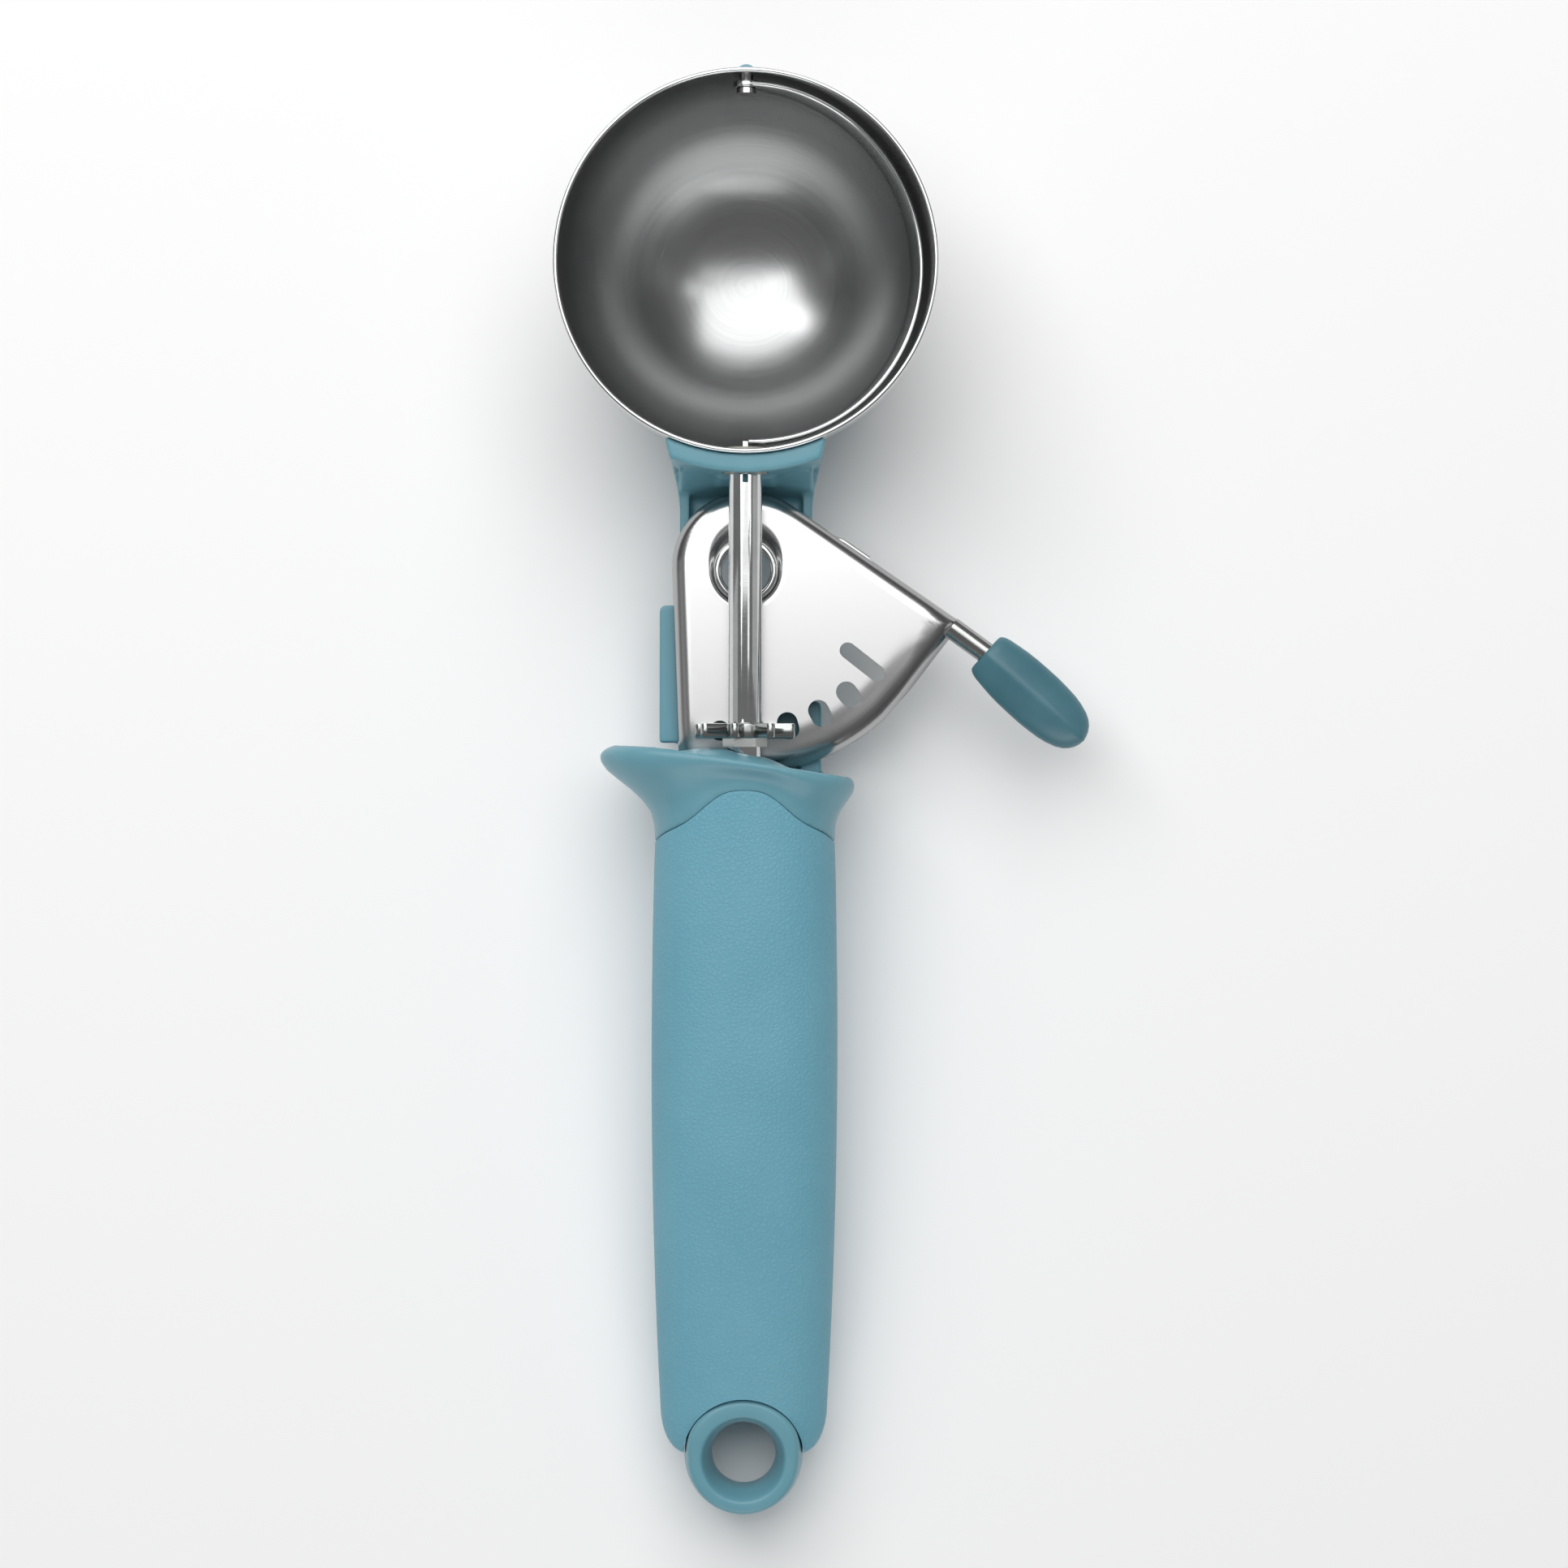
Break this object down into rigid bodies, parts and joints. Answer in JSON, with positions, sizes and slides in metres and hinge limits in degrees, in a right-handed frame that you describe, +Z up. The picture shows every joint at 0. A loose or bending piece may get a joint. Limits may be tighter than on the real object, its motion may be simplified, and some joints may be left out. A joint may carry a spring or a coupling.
{
  "type": "ice cream scoop",
  "caption": "Hand scoop with a round steel bowl, a thumb lever that drives a scraper blade through a toothed wheel, and a soft grip ending in a hang ring.",
  "frame": {"origin": "centre of the hang hole", "axes": "the tool lies on a table on its bowl and the back of its hang ring: +Y runs along the tool from the hang hole towards the bowl, +Z is up, out of the bowl's mouth, and +X is the side of the thumb lever"},
  "size_m": [0.0873, 0.2333, 0.0385],
  "materials": {
    "teal_plastic": "smooth moulded plastic",
    "grip_rubber": "finely grained soft moulding",
    "teal_plastic_ring": "smooth moulded plastic",
    "bowl_steel": "satin polished inside, brighter outside",
    "bracket_steel": "plain sheet",
    "rivet_steel": "upset heads",
    "bush_plastic": "plain bearing plastic",
    "bush_plastic_lower": "plain bearing plastic",
    "pin_steel": "turned",
    "cap_plastic": "smooth moulded plastic",
    "pivot_steel": "bright plated",
    "washer_steel": "bright plated",
    "spring_wire": "drawn wire",
    "sector_steel": "bright plated stamping",
    "thumb_plastic": "smooth moulded plastic",
    "blade_steel": "bright strip",
    "shaft_chrome": "bright plated tube",
    "wheel_chrome": "bright plated",
    "collar_chrome": "bright plated"
  },
  "bodies": {
    "handle": {"handle_core": "teal_plastic", "grip_sleeve": "grip_rubber", "hang_ring": "teal_plastic_ring", "bowl": "bowl_steel", "bowl_bracket": "bracket_steel", "bracket_rivets": "rivet_steel", "upper_bush": "bush_plastic", "lower_bush": "bush_plastic_lower", "blade_pivot_pin": "pin_steel", "pivot_pin_cap": "cap_plastic", "pivot_rivet": "pivot_steel", "rivet_washer": "washer_steel", "return_spring": "spring_wire"},
    "lever": {"sector_lever": "sector_steel", "thumb_tip": "thumb_plastic"},
    "scraper": {"scraper_blade": "blade_steel", "drive_shaft": "shaft_chrome", "star_wheel": "wheel_chrome", "hex_collar": "collar_chrome"}
  },
  "joints": [
    {"name": "lever_press", "type": "hinge", "parent": "handle", "child": "lever", "pos_m": [0, 0.14311, 0.01102], "axis": [0, 0.0976, -0.9952], "range_deg": [0, 40.5], "stiffness_Nm_per_rad": 0.12, "springref_deg": -20.05, "deforming": ["return_spring"]},
    {"name": "scraper_turn", "type": "hinge", "parent": "handle", "child": "scraper", "pos_m": [0, 0.19139, 0.02278], "axis": [0, 0.9952, 0.0976], "range_deg": [0, 150]}
  ],
  "couplings": [
    {"joint": "scraper_turn", "follows": "lever_press", "ratio": 3.6885}
  ]
}
